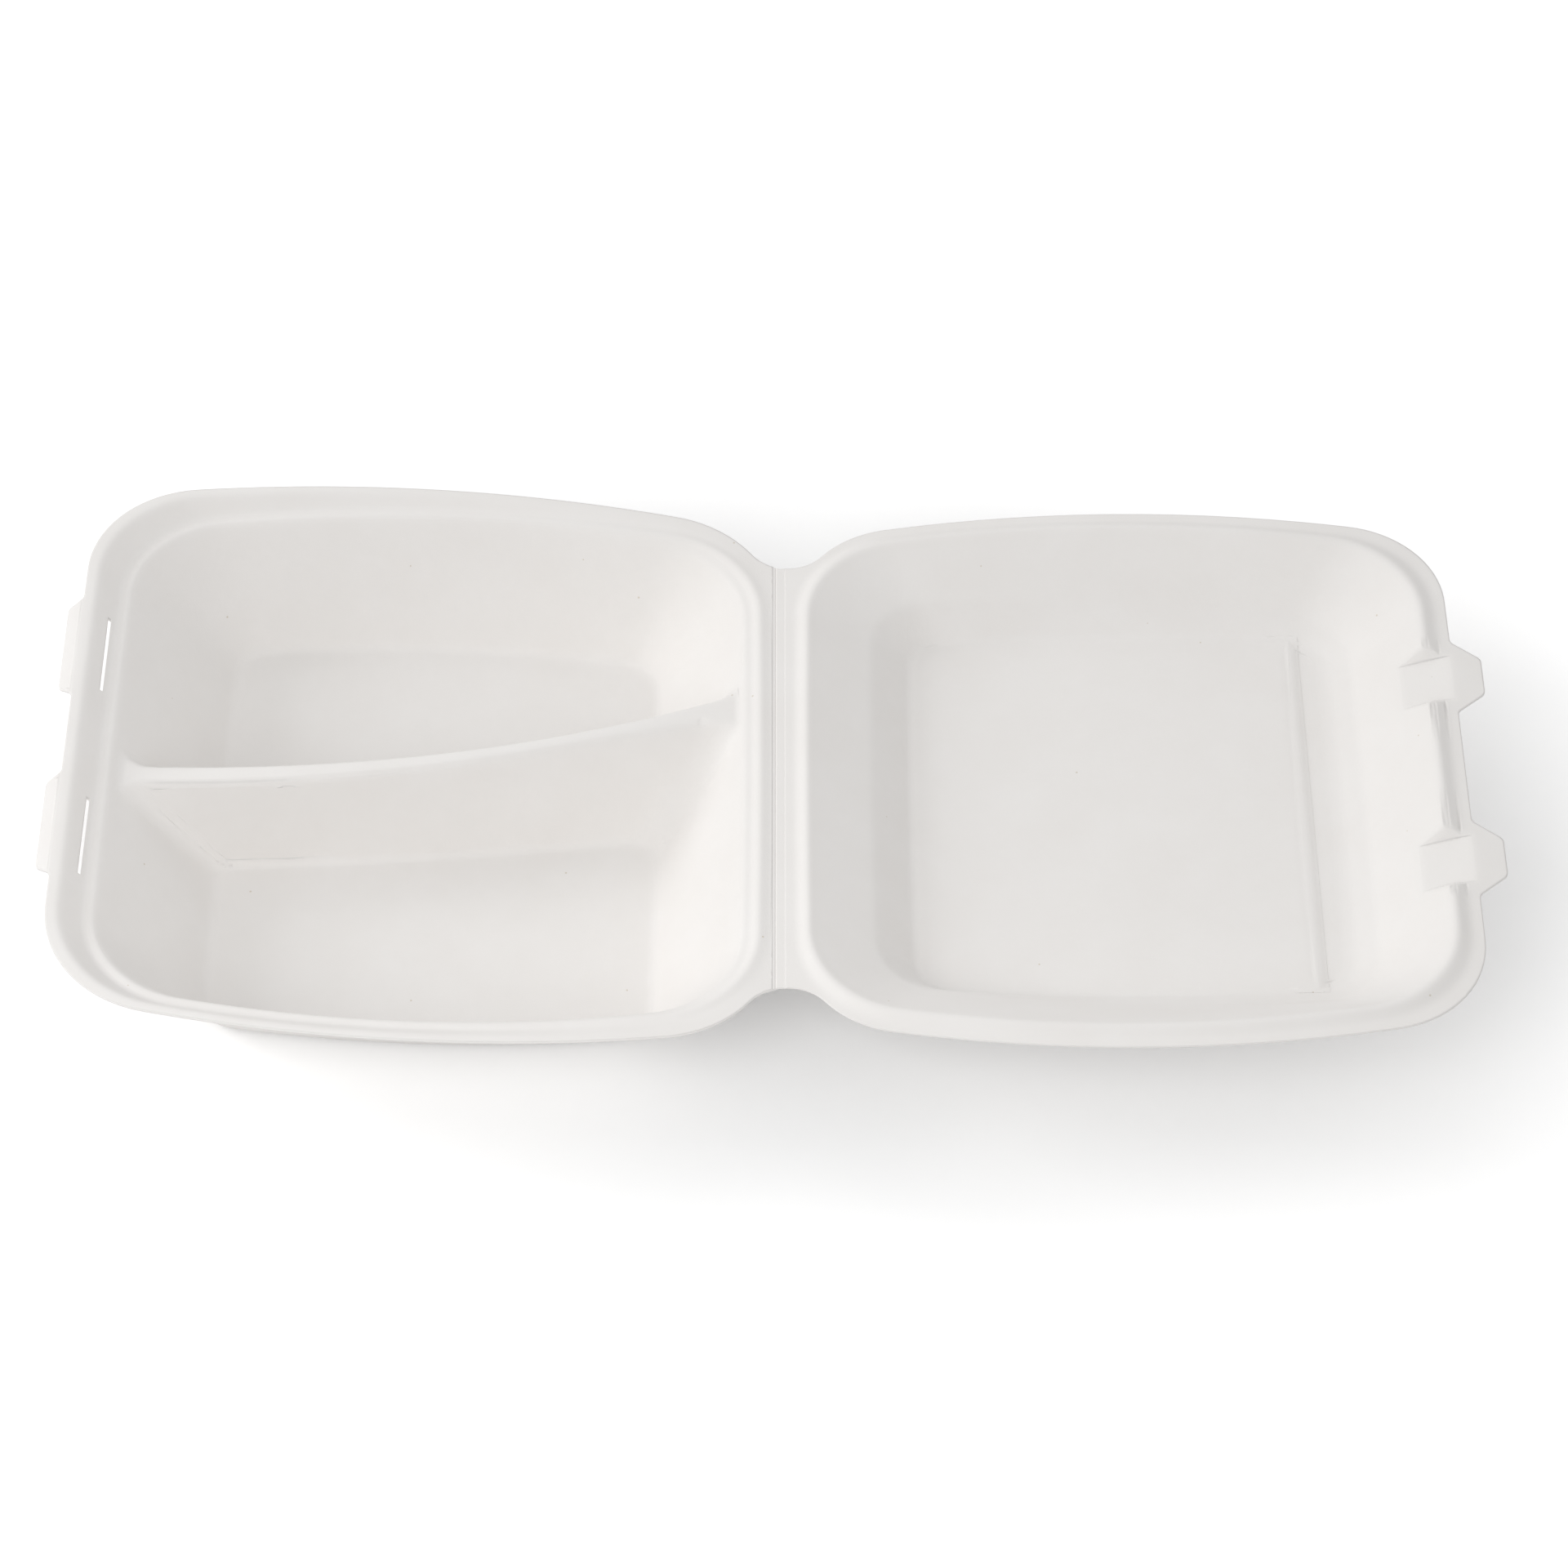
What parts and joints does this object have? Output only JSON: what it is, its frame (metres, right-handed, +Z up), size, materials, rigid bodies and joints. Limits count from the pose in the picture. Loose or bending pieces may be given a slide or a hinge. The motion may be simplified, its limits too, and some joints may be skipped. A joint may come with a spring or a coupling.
{
  "type": "hinged takeaway container",
  "caption": "Open takeaway container of moulded sugarcane pulp: a divided tray with a curved partition, and a shallow hinged lid that tucks in with tabs.",
  "frame": {"origin": "centre of the flat foot under the tray, on the surface it stands on", "axes": "+X from the tray across the fold to the open lid, +Y along the fold, +Z up"},
  "size_m": [0.4545, 0.2304, 0.0544],
  "materials": {
    "pulp": "matte moulded sugarcane pulp"
  },
  "bodies": {
    "tray": {"tray": "pulp", "fold": "pulp"},
    "lid": {"lid": "pulp"}
  },
  "joints": [
    {"name": "lid_fold", "type": "hinge", "parent": "tray", "child": "lid", "pos_m": [0.10805, 0, 0.0411], "axis": [0, -1, 0], "range_deg": [-8.5, 175]}
  ]
}
